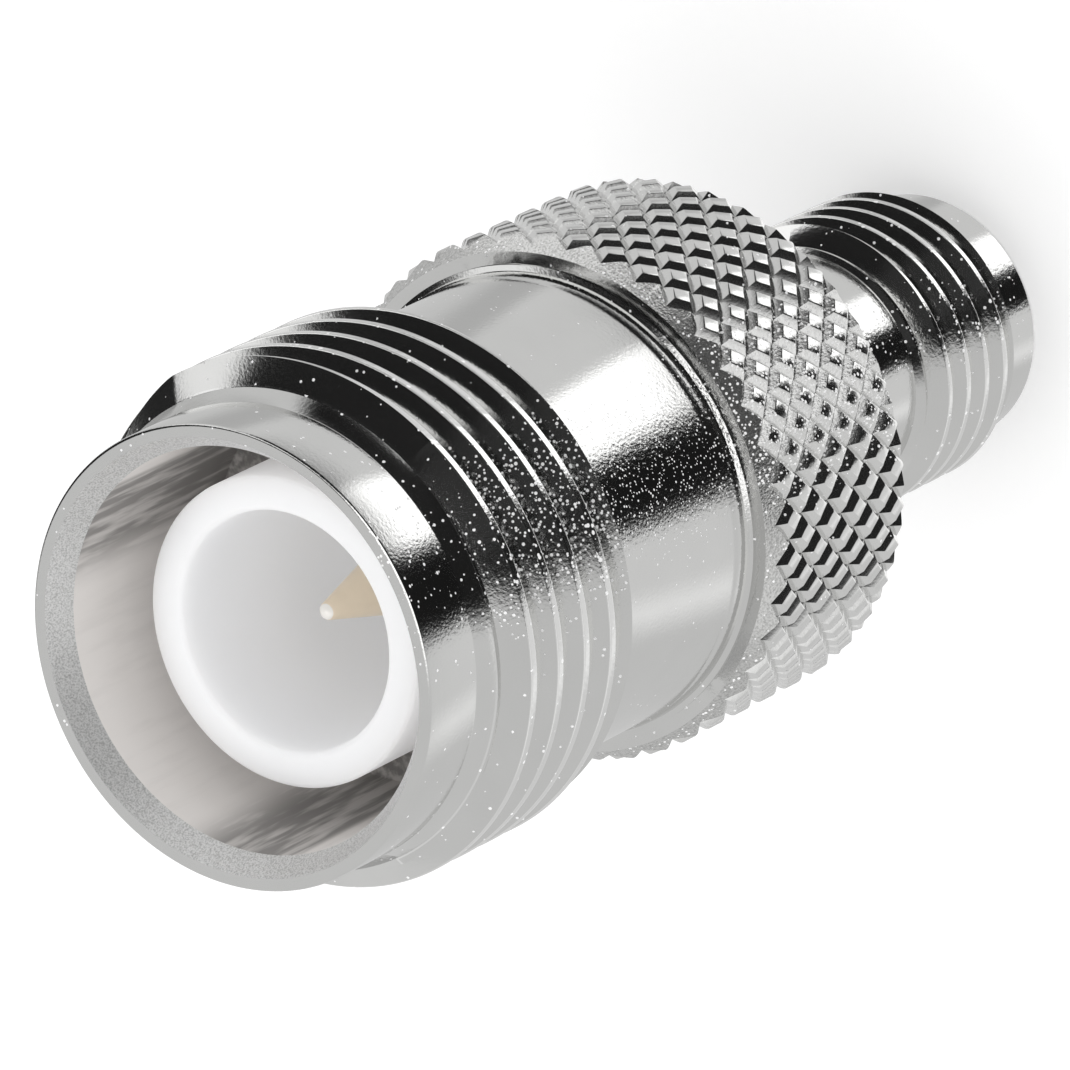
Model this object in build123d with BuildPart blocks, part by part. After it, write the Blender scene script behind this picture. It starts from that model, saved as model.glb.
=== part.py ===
from build123d import *

import os
from math import radians, tan

# All sizes are in millimetres. The axis of the adapter is Z. The small mating end
# stands on Z = 0 and the large mating end opens upward at Z = TOTAL_LENGTH.
TOTAL_LENGTH = 25.1

# Large outside thread, 7/16-28 size, right-handed, with narrow flat crests.
LARGE_THREAD_R = 5.50
LARGE_THREAD_TOP = 22.94
LARGE_THREAD_FRONT_DEPTH = 0.38
LARGE_THREAD_BOTTOM = 18.50
LARGE_PITCH = 0.907
LARGE_GROOVE_DEPTH = 0.53
LARGE_CREST_FLAT = 0.12
LARGE_GROOVE_START = 17.93
LARGE_GROOVE_TURNS = 6.5

# Small outside thread, 1/4-36 size, right-handed.
SMALL_THREAD_R = 3.13
SMALL_THREAD_TOP = 4.45
SMALL_THREAD_FRONT_DEPTH = 0.36
SMALL_THREAD_BOTTOM = 1.01
SMALL_PITCH = 0.7056
SMALL_GROOVE_DEPTH = 0.39
SMALL_CREST_FLAT = 0.09
SMALL_GROOVE_START = 0.305
SMALL_GROOVE_TURNS = 6.5

GROOVE_OVERCUT = 0.04

# Front shell, outside.
LIP_R = 4.77
LIP_EDGE_BREAK = 0.04
LIP_FOOT_Z = 23.60
LIP_FLARE_R = 4.83
BARREL_R = 4.80
BARREL_FOOT_Z = 14.61
FLANGE_TOP_R = 4.88
FLANGE_TOP_Z = 14.215
FLANGE_R = 4.99
FLANGE_EDGE_Z = 14.17
COLLAR_FACE_Z = 14.13
SPIGOT_R = 4.55
SPIGOT_BOTTOM_Z = 11.70

# Front shell, inside.
MOUTH_R = 4.50
MOUTH_BORE_R = 4.176
MOUTH_CHAMFER_DEPTH = 0.51
CONTACT_SHOULDER_Z = 19.80
CUP_BORE_R = 3.22
CUP_SEAT_R = 3.60
CUP_SEAT_Z = 13.10

# Knurled grip collar.
COLLAR_EDGE_R = 5.26
COLLAR_R = 5.55
COLLAR_BEVEL_END_Z = 13.75
COLLAR_REAR_Z = 9.30
COLLAR_REAR_CHAMFER = 0.20
KNURL_COUNT = 40
KNURL_LEAD = 37.8
KNURL_DEPTH = 0.16
KNURL_HALF_WIDTH = 0.15
KNURL_START_ANGLE = 0.5
KNURL_START_Z = 8.29
KNURL_RUN = 6.00
KNURL_OVERCUT = 0.08

# Neck and small mating end.
NECK_R = 2.64
NECK_ROOT_CHAMFER = 0.25
NECK_FOOT_Z = 4.90
NECK_FLARE_R = 2.73
SMALL_END_R = 2.70
SMALL_END_EDGE = 0.08
SMALL_BORE_R = 2.33
SMALL_FACE_Z = 1.93
BEAD_BORE_R = 2.06
BEAD_SEAT_R = 2.60
BEAD_SEAT_Z = 10.70

# White plastic cup in the large end.
CUP_R = 3.206
CUP_CAVITY_R = 2.483
CUP_RIM_Z = 23.32
CUP_RIM_CHAMFER = 0.08
CUP_FLOOR_Z = 16.60
CUP_FLANGE_R = 3.58
CUP_PIN_BORE_R = 0.685
CUP_PIN_SEAT_R = 1.02
CUP_PIN_SEAT_Z = 12.72

# White plastic bead in the small end.
BEAD_R = 2.05
BEAD_FLANGE_R = 2.58
BEAD_SOCKET_BORE_R = 0.645
BEAD_TOP_Z = 11.70

# Gold pin.
PIN_R = 0.675
PIN_TIP_Z = 21.95
PIN_TIP_R = 0.12
PIN_TIP_BREAK = 0.07
PIN_CONE_ANGLE = 13.5
PIN_SHOULDER_R = 1.00
PIN_SHOULDER_TOP_Z = 12.70
PIN_STEM_R = 0.40
PIN_STEM_END_Z = 8.40

# Gold slotted socket.
SOCKET_R = 0.635
SOCKET_MOUTH_Z = 1.98
SOCKET_BORE_R = 0.465
SOCKET_BORE_END_Z = 5.50
SOCKET_MOUTH_CHAMFER = 0.06
SOCKET_STEM_BORE_END_Z = 8.20
SOCKET_SLOT_WIDTH = 0.18
SOCKET_SLOT_LENGTH = 2.60


def groove_section(depth, pitch, crest_flat):
    """Corners of a V groove, x outward from the crest line and y along the helix."""
    half_mouth = (pitch - crest_flat) / 2
    half_outer = half_mouth * (1 + GROOVE_OVERCUT / depth)
    return (
        (-depth, 0),
        (GROOVE_OVERCUT, -half_outer),
        (GROOVE_OVERCUT, half_outer),
    )


# The large thread groove as a solid, wound once along the whole threaded length.
with BuildPart() as large_groove:
    with BuildLine() as large_helix:
        Helix(
            pitch=LARGE_PITCH,
            height=LARGE_PITCH * LARGE_GROOVE_TURNS,
            radius=LARGE_THREAD_R,
            center=(0, 0, LARGE_GROOVE_START),
        )
    with BuildSketch(Plane(large_helix.line @ 0, x_dir=(1, 0, 0), z_dir=large_helix.line % 0)):
        with BuildLine():
            Polyline(
                groove_section(LARGE_GROOVE_DEPTH, LARGE_PITCH, LARGE_CREST_FLAT),
                close=True,
            )
        make_face()
    sweep(path=large_helix.line, is_frenet=True)

# The small thread groove, made the same way.
with BuildPart() as small_groove:
    with BuildLine() as small_helix:
        Helix(
            pitch=SMALL_PITCH,
            height=SMALL_PITCH * SMALL_GROOVE_TURNS,
            radius=SMALL_THREAD_R,
            center=(0, 0, SMALL_GROOVE_START),
        )
    with BuildSketch(Plane(small_helix.line @ 0, x_dir=(1, 0, 0), z_dir=small_helix.line % 0)):
        with BuildLine():
            Polyline(
                groove_section(SMALL_GROOVE_DEPTH, SMALL_PITCH, SMALL_CREST_FLAT),
                close=True,
            )
        make_face()
    sweep(path=small_helix.line, is_frenet=True)

# Front shell: half section turned round the axis, then threaded.
with BuildPart() as front_shell:
    with BuildSketch(Plane.XZ):
        with BuildLine():
            Polyline(
                (MOUTH_BORE_R, TOTAL_LENGTH - MOUTH_CHAMFER_DEPTH),
                (MOUTH_R, TOTAL_LENGTH),
                (LIP_R - LIP_EDGE_BREAK, TOTAL_LENGTH),
                (LIP_R, TOTAL_LENGTH - LIP_EDGE_BREAK),
                (LIP_R, LIP_FOOT_Z),
                (LIP_FLARE_R, LARGE_THREAD_TOP),
                (LARGE_THREAD_R, LARGE_THREAD_TOP - LARGE_THREAD_FRONT_DEPTH),
                (LARGE_THREAD_R, LARGE_THREAD_BOTTOM + LARGE_THREAD_R - BARREL_R),
                (BARREL_R, LARGE_THREAD_BOTTOM),
                (BARREL_R, BARREL_FOOT_Z),
                (FLANGE_TOP_R, FLANGE_TOP_Z),
                (FLANGE_R, FLANGE_EDGE_Z),
                (FLANGE_R, COLLAR_FACE_Z),
                (SPIGOT_R, COLLAR_FACE_Z),
                (SPIGOT_R, SPIGOT_BOTTOM_Z),
                (CUP_SEAT_R, SPIGOT_BOTTOM_Z),
                (CUP_SEAT_R, CUP_SEAT_Z),
                (CUP_BORE_R, CUP_SEAT_Z),
                (CUP_BORE_R, CONTACT_SHOULDER_Z),
                (MOUTH_BORE_R, CONTACT_SHOULDER_Z),
                close=True,
            )
        make_face()
    revolve(axis=Axis.Z)
    add(large_groove.part, mode=Mode.SUBTRACT)

# One right-hand and one left-hand knurl groove, each a V swept along a long helix.
with BuildPart() as right_groove:
    with BuildLine() as right_helix:
        Helix(
            pitch=KNURL_LEAD,
            height=KNURL_RUN,
            radius=COLLAR_R,
            center=(0, 0, KNURL_START_Z),
        )
    with BuildSketch(Plane(right_helix.line @ 0, x_dir=(1, 0, 0), z_dir=right_helix.line % 0)):
        with BuildLine():
            Polyline(
                (-KNURL_DEPTH, 0),
                (KNURL_OVERCUT, -KNURL_HALF_WIDTH * (1 + KNURL_OVERCUT / KNURL_DEPTH)),
                (KNURL_OVERCUT, KNURL_HALF_WIDTH * (1 + KNURL_OVERCUT / KNURL_DEPTH)),
                close=True,
            )
        make_face()
    sweep(path=right_helix.line, is_frenet=True)

with BuildPart() as left_groove:
    add(right_groove.part.mirror(Plane.XZ))

# Rear body: collar, neck and small mating half, turned as one, then threaded and knurled.
with BuildPart() as rear_body:
    with BuildSketch(Plane.XZ):
        with BuildLine():
            Polyline(
                (SPIGOT_R, COLLAR_FACE_Z),
                (COLLAR_EDGE_R, COLLAR_FACE_Z),
                (COLLAR_R, COLLAR_BEVEL_END_Z),
                (COLLAR_R, COLLAR_REAR_Z + COLLAR_REAR_CHAMFER),
                (COLLAR_R - COLLAR_REAR_CHAMFER, COLLAR_REAR_Z),
                (NECK_R, COLLAR_REAR_Z),
                (NECK_R, NECK_FOOT_Z),
                (NECK_FLARE_R, SMALL_THREAD_TOP),
                (SMALL_THREAD_R, SMALL_THREAD_TOP - SMALL_THREAD_FRONT_DEPTH),
                (SMALL_THREAD_R, SMALL_THREAD_BOTTOM + SMALL_THREAD_R - SMALL_END_R),
                (SMALL_END_R, SMALL_THREAD_BOTTOM),
                (SMALL_END_R, 0),
                (SMALL_BORE_R, 0),
                (SMALL_BORE_R, SMALL_FACE_Z),
                (BEAD_BORE_R, SMALL_FACE_Z),
                (BEAD_BORE_R, BEAD_SEAT_Z),
                (BEAD_SEAT_R, BEAD_SEAT_Z),
                (BEAD_SEAT_R, SPIGOT_BOTTOM_Z),
                (SPIGOT_R, SPIGOT_BOTTOM_Z),
                close=True,
            )
        make_face()
    revolve(axis=Axis.Z)
    foot_edges = rear_body.edges().filter_by(GeomType.CIRCLE).group_by(Axis.Z)[0]
    chamfer(foot_edges, length=SMALL_END_EDGE)
    collar_back = rear_body.edges().filter_by(GeomType.CIRCLE).filter_by_position(
        Axis.Z, COLLAR_REAR_Z, COLLAR_REAR_Z
    )
    chamfer(collar_back.sort_by(SortBy.RADIUS)[0], length=NECK_ROOT_CHAMFER)
    add(small_groove.part, mode=Mode.SUBTRACT)
    with PolarLocations(0, KNURL_COUNT, start_angle=KNURL_START_ANGLE):
        add(right_groove.part, mode=Mode.SUBTRACT)
    with PolarLocations(0, KNURL_COUNT, start_angle=KNURL_START_ANGLE):
        add(left_groove.part, mode=Mode.SUBTRACT)

# Front insulator: a cup with an open rim, and a flange caught between shell and body.
with BuildPart() as front_insulator:
    with BuildSketch(Plane.XZ):
        with BuildLine():
            Polyline(
                (CUP_CAVITY_R, CUP_FLOOR_Z),
                (CUP_CAVITY_R, CUP_RIM_Z),
                (CUP_R, CUP_RIM_Z),
                (CUP_R, CUP_SEAT_Z),
                (CUP_FLANGE_R, CUP_SEAT_Z),
                (CUP_FLANGE_R, SPIGOT_BOTTOM_Z),
                (CUP_PIN_SEAT_R, SPIGOT_BOTTOM_Z),
                (CUP_PIN_SEAT_R, CUP_PIN_SEAT_Z),
                (CUP_PIN_BORE_R, CUP_PIN_SEAT_Z),
                (CUP_PIN_BORE_R, CUP_FLOOR_Z),
                close=True,
            )
        make_face()
    revolve(axis=Axis.Z)
    rim_edges = front_insulator.edges().filter_by(GeomType.CIRCLE).group_by(Axis.Z)[-1]
    chamfer(rim_edges, length=CUP_RIM_CHAMFER)

# Rear insulator: a bead with a flange at its inner end, bored for the socket.
with BuildPart() as rear_insulator:
    with BuildSketch(Plane.XZ):
        with BuildLine():
            Polyline(
                (BEAD_SOCKET_BORE_R, SMALL_FACE_Z),
                (BEAD_R, SMALL_FACE_Z),
                (BEAD_R, BEAD_SEAT_Z),
                (BEAD_FLANGE_R, BEAD_SEAT_Z),
                (BEAD_FLANGE_R, BEAD_TOP_Z),
                (BEAD_SOCKET_BORE_R, BEAD_TOP_Z),
                close=True,
            )
        make_face()
    revolve(axis=Axis.Z)

# Pin: blunt tip with a broken edge, cone, shank, retaining shoulder and stem.
cone_start_r = PIN_TIP_R + PIN_TIP_BREAK
cone_start_z = PIN_TIP_Z - PIN_TIP_BREAK
cone_end_z = cone_start_z - (PIN_R - cone_start_r) / tan(radians(PIN_CONE_ANGLE))

with BuildPart() as pin_contact:
    with BuildSketch(Plane.XZ):
        with BuildLine():
            Polyline(
                (0, PIN_TIP_Z),
                (PIN_TIP_R, PIN_TIP_Z),
                (cone_start_r, cone_start_z),
                (PIN_R, cone_end_z),
                (PIN_R, PIN_SHOULDER_TOP_Z),
                (PIN_SHOULDER_R, PIN_SHOULDER_TOP_Z),
                (PIN_SHOULDER_R, SPIGOT_BOTTOM_Z),
                (PIN_STEM_R, SPIGOT_BOTTOM_Z),
                (PIN_STEM_R, PIN_STEM_END_Z),
                (0, PIN_STEM_END_Z),
                close=True,
            )
        make_face()
    revolve(axis=Axis.Z)

# Socket: bored at both ends, with two crossed slots that leave four spring fingers.
with BuildPart() as socket_contact:
    with BuildSketch(Plane.XZ):
        with BuildLine():
            Polyline(
                (SOCKET_BORE_R, SOCKET_MOUTH_Z),
                (SOCKET_R, SOCKET_MOUTH_Z),
                (SOCKET_R, SPIGOT_BOTTOM_Z),
                (PIN_STEM_R, SPIGOT_BOTTOM_Z),
                (PIN_STEM_R, SOCKET_STEM_BORE_END_Z),
                (0, SOCKET_STEM_BORE_END_Z),
                (0, SOCKET_BORE_END_Z),
                (SOCKET_BORE_R, SOCKET_BORE_END_Z),
                close=True,
            )
        make_face()
    revolve(axis=Axis.Z)
    mouth_edge = socket_contact.edges().filter_by(GeomType.CIRCLE).group_by(Axis.Z)[0]
    chamfer(mouth_edge.sort_by(SortBy.RADIUS)[0], length=SOCKET_MOUTH_CHAMFER)
    with BuildSketch(Plane.XY.offset(SOCKET_MOUTH_Z)):
        with PolarLocations(0, 2, angular_range=180):
            Rectangle(2.2 * SOCKET_R, SOCKET_SLOT_WIDTH)
    extrude(amount=SOCKET_SLOT_LENGTH, mode=Mode.SUBTRACT)

front_shell.part.label = "front_shell"
rear_body.part.label = "rear_body"
front_insulator.part.label = "front_insulator"
rear_insulator.part.label = "rear_insulator"
pin_contact.part.label = "pin_contact"
socket_contact.part.label = "socket_contact"

os.makedirs("parts", exist_ok=True)
export_step(front_shell.part, "parts/front_shell.step")
export_step(rear_body.part, "parts/rear_body.step")
export_step(front_insulator.part, "parts/front_insulator.step")
export_step(rear_insulator.part, "parts/rear_insulator.step")
export_step(pin_contact.part, "parts/pin_contact.step")
export_step(socket_contact.part, "parts/socket_contact.step")
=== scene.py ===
"""Studio scene of a coax adapter: nickel-plated shells, white insulators, gold contacts."""

import logging
import math
from dataclasses import dataclass, field
from enum import Enum
from functools import cache
from typing import Any, ClassVar, Iterable, Sequence

import bpy
from mathutils import Matrix, Vector


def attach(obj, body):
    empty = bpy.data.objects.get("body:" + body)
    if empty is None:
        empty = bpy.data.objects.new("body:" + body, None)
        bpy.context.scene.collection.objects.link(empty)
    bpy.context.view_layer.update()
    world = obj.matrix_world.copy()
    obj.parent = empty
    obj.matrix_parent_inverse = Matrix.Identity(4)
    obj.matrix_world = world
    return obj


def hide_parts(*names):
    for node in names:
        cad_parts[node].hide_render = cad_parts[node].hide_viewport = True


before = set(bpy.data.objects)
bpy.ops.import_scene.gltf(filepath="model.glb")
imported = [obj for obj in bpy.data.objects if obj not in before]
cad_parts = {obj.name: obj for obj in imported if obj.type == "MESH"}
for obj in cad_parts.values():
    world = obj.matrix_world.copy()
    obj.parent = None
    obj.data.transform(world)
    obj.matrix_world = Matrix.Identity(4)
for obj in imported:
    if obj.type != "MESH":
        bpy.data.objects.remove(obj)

LOG = logging.getLogger("adapter")
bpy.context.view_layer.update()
METRE = 0.001  # a millimetre, in metres
MM_PER_METRE = 1000.0
MICRON = 0.000001  # a micron, in metres
FULL_TURN = 2 * math.pi
WELD = 0.0001  # points closer than this many millimetres become one

Point = tuple[float, float]
Triple = tuple[float, float, float]
Colour = Triple

WHITE: Colour = (1.0, 1.0, 1.0)


class Slot(Enum):
    """The record's material slots."""

    NICKEL = "nickel_plate"
    PLASTIC = "white_plastic"
    GOLD = "gold_plate"


class Cut(Enum):
    """What a boolean does with its second solid."""

    AWAY = "DIFFERENCE"
    COMMON = "INTERSECT"
    FUSED = "UNION"


# Shader tools


class Wire:
    """A shader socket that takes Python's arithmetic and adds the Math nodes for it."""

    def __init__(self, tree: bpy.types.NodeTree, socket: Any) -> None:
        """Keeps the socket and its tree.

        Args:
            tree: The node tree that new nodes go into.
            socket: The output socket.
        """
        self.tree = tree
        self.socket = socket

    def _math(self, operation: str, *values: Any) -> "Wire":
        """Adds one Math node.

        Args:
            operation: The Math node's operation.
            values: Numbers or wires for its inputs, in order.

        Returns:
            The node's output as a wire.
        """
        node = self.tree.nodes.new("ShaderNodeMath")
        node.operation = operation
        for place, value in zip(node.inputs, values):
            if isinstance(value, Wire):
                self.tree.links.new(value.socket, place)
            else:
                place.default_value = value
        return Wire(self.tree, node.outputs[0])

    def __add__(self, other: Any) -> "Wire":
        """self + other."""
        return self._math("ADD", self, other)

    def __sub__(self, other: Any) -> "Wire":
        """self - other."""
        return self._math("SUBTRACT", self, other)

    def __rsub__(self, other: Any) -> "Wire":
        """other - self."""
        return self._math("SUBTRACT", other, self)

    def __mul__(self, other: Any) -> "Wire":
        """self * other."""
        return self._math("MULTIPLY", self, other)

    def __neg__(self) -> "Wire":
        """-self."""
        return self._math("MULTIPLY", self, -1.0)

    def __gt__(self, other: Any) -> "Wire":
        """1 where self is greater than other, else 0."""
        return self._math("GREATER_THAN", self, other)

    def maximum(self, other: Any) -> "Wire":
        """The greater of two values."""
        return self._math("MAXIMUM", self, other)

    def sine(self) -> "Wire":
        """The sine of this value, in radians."""
        return self._math("SINE", self)

    def angle(self, other: "Wire") -> "Wire":
        """The angle of the direction (other, self), in radians."""
        return self._math("ARCTAN2", self, other)

    def step(self, low: float, high: float) -> "Wire":
        """A smooth step of this value.

        Args:
            low: The value at which the step is 0.
            high: The value at which the step is 1.

        Returns:
            A wire between 0 and 1.
        """
        node = self.tree.nodes.new("ShaderNodeMapRange")
        node.interpolation_type = "SMOOTHSTEP"
        self.tree.links.new(self.socket, node.inputs["Value"])
        node.inputs["From Min"].default_value = low
        node.inputs["From Max"].default_value = high
        return Wire(self.tree, node.outputs["Result"])


class Network:
    """A node tree with one method for every node that isn't plain maths."""

    def __init__(self, tree: bpy.types.NodeTree) -> None:
        """Starts from an empty tree."""
        self.tree = tree
        tree.nodes.clear()

    def node(
        self, kind: str, settings: dict[str, Any] | None = None, **values: Any
    ) -> bpy.types.Node:
        """Adds a node, sets its settings and then its sockets.

        Args:
            kind: The node's type name.
            settings: Attributes set before the sockets. "stops" gives a colour ramp's
                (place, colour) pairs.
            values: Socket values or wires, by socket name with underscores for spaces, or
                by index as input0, input1 and so on.

        Returns:
            The new node.
        """
        made = self.tree.nodes.new(kind)
        for name, value in (settings or {}).items():
            if name == "stops":
                self._stops(made, value)
            else:
                setattr(made, name, value)
        for name, value in values.items():
            place = self._place(made, name)
            if isinstance(value, Wire):
                self.tree.links.new(value.socket, place)
            else:
                place.default_value = value
        return made

    @staticmethod
    def _stops(made: bpy.types.Node, stops: Sequence[tuple[float, Colour]]) -> None:
        """Fills a colour ramp from (place, colour) pairs in rising order."""
        elements = made.color_ramp.elements
        while len(elements) > 1:
            elements.remove(elements[-1])
        elements[0].position = stops[0][0]
        elements[0].color = (*stops[0][1], 1.0)
        for place, colour in stops[1:]:
            element = elements.new(place)
            element.color = (*colour, 1.0)

    @staticmethod
    def _place(made: bpy.types.Node, name: str) -> Any:
        """Finds an input socket by its keyword."""
        if name.startswith("input"):
            return made.inputs[int(name[5:])]
        return made.inputs[name.replace("_", " ")]

    def out(self, made: bpy.types.Node, name: str | int = 0) -> Wire:
        """An output of a node as a wire."""
        return Wire(self.tree, made.outputs[name])

    def place(self) -> Wire:
        """The object coordinates, in metres."""
        return self.out(self.node("ShaderNodeTexCoord"), "Object")

    def noise(self, place: Wire, scale: float, detail: float = 3.0) -> Wire:
        """A cloudy noise between 0 and 1."""
        made = self.node("ShaderNodeTexNoise", Vector=place, Scale=scale, Detail=detail)
        return self.out(made, "Fac")

    def bump(self, height: Wire, strength: float, microns: float) -> Wire:
        """A normal from a height and the depth that a height of 1 stands for."""
        made = self.node(
            "ShaderNodeBump", Strength=strength, Distance=microns * MICRON, Height=height
        )
        return self.out(made, "Normal")

    def aside(self, spot: bpy.types.Node, middle: float = 0.0) -> Wire:
        """How far round the axis a point lies from a line along the piece, in radians.

        Args:
            spot: The node that separates the object coordinates.
            middle: Where that line lies, in degrees from the camera's side.

        Returns:
            The angle to either side, never negative.
        """
        turn = (-self.out(spot, "X")).angle(-self.out(spot, "Y")) - math.radians(middle)
        return turn.maximum(-turn)

    def mix(self, factor: Any, first: Any, second: Any) -> Wire:
        """Mixes two colours.

        Args:
            factor: 0 for the first colour, 1 for the second.
            first: A colour or wire.
            second: A colour or wire.

        Returns:
            The mixed colour.
        """
        made = self.tree.nodes.new("ShaderNodeMix")
        made.data_type = "RGBA"
        for index, value in ((0, factor), (6, first), (7, second)):
            if isinstance(value, Wire):
                self.tree.links.new(value.socket, made.inputs[index])
            elif index:
                made.inputs[index].default_value = (*value, 1.0)
            else:
                made.inputs[index].default_value = value
        return Wire(self.tree, made.outputs[2])


# Finishes


def tint(colour: Colour, share: float) -> Colour:
    """A colour brought down to a share of its level."""
    return tuple(value * share for value in colour)


@dataclass(frozen=True)
class Finish:
    """What every finish has: a name and a way to make its material."""

    name: str

    @cache
    def material(self) -> bpy.types.Material:
        """Makes the material once; equal finishes share it."""
        made = bpy.data.materials.new(self.name)
        made.use_nodes = True
        net = Network(made.node_tree)
        shader = net.node("ShaderNodeBsdfPrincipled")
        output = net.node("ShaderNodeOutputMaterial")
        made.node_tree.links.new(shader.outputs[0], output.inputs["Surface"])
        self.wire(net, shader)
        return made

    def wire(self, net: Network, shader: bpy.types.Node) -> None:
        """Fills the shader's sockets; each finish has its own."""
        raise NotImplementedError

    @staticmethod
    def fix(shader: bpy.types.Node, **values: Any) -> None:
        """Sets uniform values by socket name, with underscores for spaces."""
        for name, value in values.items():
            shader.inputs[name.replace("_", " ")].default_value = value

    @staticmethod
    def feed(net: Network, shader: bpy.types.Node, **wires: Wire) -> None:
        """Links wires by socket name, with underscores for spaces."""
        for name, wire in wires.items():
            net.tree.links.new(wire.socket, shader.inputs[name.replace("_", " ")])


@dataclass(frozen=True)
class NickelPlate(Finish):
    """Bright nickel plate with a fine grain and scattered raised beads whose white colour is a
    painted glint.

    Attributes:
        colour: Reflected colour of the plate.
        roughness: Lowest roughness.
        metal: Share of the surface that mirrors as metal.
        grain_mm: Size of the fine grain.
        grain_height: Height of the fine grain in the bump.
        speckle: Darkening of the colour by the fine grain.
        bead_mm: Spacing of the beads.
        sparse: Share of the spots without a bead, away from the dense side.
        dense: The same on the dense side, which faces the camera's side, where the painted glints
            gather.
        line_mm: Spacing of the turning lines, divided by a full turn.
    """

    colour: Colour = (0.70, 0.70, 0.69)
    roughness: float = 0.07
    metal: float = 1.0
    grain_mm: float = 0.07
    grain_height: float = 1.8
    speckle: float = 0.0
    bead_mm: float = 0.085
    sparse: float = 0.97
    dense: float = 0.80
    line_mm: float = 0.03

    # The dense side of painted glints, towards the camera: its middle, and where it begins and ends
    # to fade out, in degrees.
    MIDDLE: ClassVar[float] = 3.0
    FADE: ClassVar[Point] = (9.0, 26.0)
    # A bead's full and outer edge, and how much the beads differ in size, in cells.
    BEAD_EDGE: ClassVar[Point] = (0.10, 0.22)
    BEAD_SPREAD: ClassVar[float] = 0.24
    # What a bead adds to the bump, takes from the mirroring and adds to the roughness; its white
    # colour is a painted glint.
    BEAD_RISE: ClassVar[float] = 0.8
    BEAD_DULLS: ClassVar[float] = 0.7
    BEAD_BLURS: ClassVar[float] = 0.42
    # Scale of the cloudy noise, and how far it bends the turning lines.
    CLOUD_SCALE: ClassVar[float] = 900.0
    LINE_WANDER: ClassVar[float] = 9.0
    LINE_RISE: ClassVar[float] = 0.04
    # Share of the grain's height that is lost away from the dense side.
    GRAIN_FADE: ClassVar[float] = 0.6
    # Levels of the range of the grain that darkens the colour.
    SPECKLE_RANGE: ClassVar[Point] = (0.35, 0.75)

    def beads(self, net: Network, place: Wire, aside: Wire) -> Wire:
        """Round beads of uneven size, the mask of the painted glints: 1 on a bead, 0 off it."""
        scale = MM_PER_METRE / self.bead_mm
        cells = net.node(
            "ShaderNodeTexVoronoi", {"feature": "F1"}, Vector=place, Scale=scale, Randomness=1.0
        )
        lots = net.node("ShaderNodeSeparateColor", Color=net.out(cells, "Color"))
        grown = net.out(cells, "Distance") - net.out(lots, 1) * self.BEAD_SPREAD
        drawn = net.out(lots, 0) > aside * (self.sparse - self.dense) + self.dense
        return (1.0 - grown.step(*self.BEAD_EDGE)) * drawn

    def wire(self, net: Network, shader: bpy.types.Node) -> None:
        """Cloud and beads vary colour, mirroring and roughness, the beads as painted white glints;
        the grain goes into the bump.
        """
        place = net.place()
        cloud = net.noise(place, self.CLOUD_SCALE)
        grain = net.noise(place, MM_PER_METRE / self.grain_mm, detail=2.0)
        spot = net.node("ShaderNodeSeparateXYZ", Vector=place)
        aside = net.aside(spot, self.MIDDLE).step(*(math.radians(edge) for edge in self.FADE))
        bead = self.beads(net, place, aside)
        level = net.out(spot, "Z") * (MM_PER_METRE / self.line_mm)
        lines = (level + cloud * self.LINE_WANDER).sine()
        height = (
            grain * (1.0 - aside * self.GRAIN_FADE) * self.grain_height
            + bead * self.BEAD_RISE
            + lines * self.LINE_RISE
        )
        speck = grain.step(*self.SPECKLE_RANGE) * self.speckle
        clouded = net.mix(cloud, self.colour, tint(self.colour, 0.93))
        plate = net.mix(speck, clouded, tint(self.colour, 0.45))
        self.feed(
            net,
            shader,
            # White on the beads: painted glints, gathered towards the camera's side.
            Base_Color=net.mix(bead, plate, WHITE),
            Metallic=(1.0 - bead * self.BEAD_DULLS) * self.metal,
            Roughness=cloud * 0.05 + grain * 0.04 + bead * self.BEAD_BLURS + self.roughness,
            Normal=net.bump(height, 0.55, 4.5),
        )


@dataclass(frozen=True)
class BoredNickel(Finish):
    """Dull warm plate of the bored mouth, with streaks from the boring tool. Its light warm grey on
    a barely mirroring plate is a painted reflection of the lit white cup, and its two dark patches
    are painted dark reflections.

    Attributes:
        colour: Reflected colour of the plate.
        roughness: Lowest roughness.
        metal: Share of the surface that mirrors as metal.
        begins: Where each of the two painted dark reflections fades in, in degrees from the
            camera's side.
        ends: Where it fades out.
    """

    # A light warm grey on a barely mirroring plate: a painted reflection of the lit white cup.
    colour: Colour = (0.81, 0.78, 0.755)
    roughness: float = 0.40
    metal: float = 0.10
    begins: Point = (102.0, 108.0)
    ends: Point = (128.0, 144.0)

    # Scale of the streaks' noise, and how much it is drawn out along the axis.
    STREAK_SCALE: ClassVar[float] = 4200.0
    STREAK_SHAPE: ClassVar[Triple] = (1.0, 1.0, 0.12)

    def wire(self, net: Network, shader: bpy.types.Node) -> None:
        """Streaks vary the colour; two wide patches of painted dark reflection, broken up by the
        streaks, darken it.
        """
        place = net.place()
        drawn = net.node("ShaderNodeMapping", Vector=place, Scale=self.STREAK_SHAPE)
        streak = net.noise(net.out(drawn), self.STREAK_SCALE)
        aside = net.aside(net.node("ShaderNodeSeparateXYZ", Vector=place))
        inside = aside.step(*(math.radians(edge) for edge in self.begins))
        past = aside.step(*(math.radians(edge) for edge in self.ends))
        # Two patches placed round from the camera's side: painted dark reflections.
        dark_reflection = inside * (1.0 - past) * (1.0 - streak.step(0.42, 0.66) * 0.6)
        plain = net.mix(streak.step(0.45, 0.70), self.colour, tint(self.colour, 0.96))
        self.fix(shader, Metallic=self.metal, Specular_IOR_Level=0.1)
        self.feed(
            net,
            shader,
            Base_Color=net.mix(dark_reflection, plain, tint(self.colour, 0.36)),
            Roughness=streak * 0.15 + self.roughness,
            Normal=net.bump(streak, 0.4, 6.0),
        )


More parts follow.
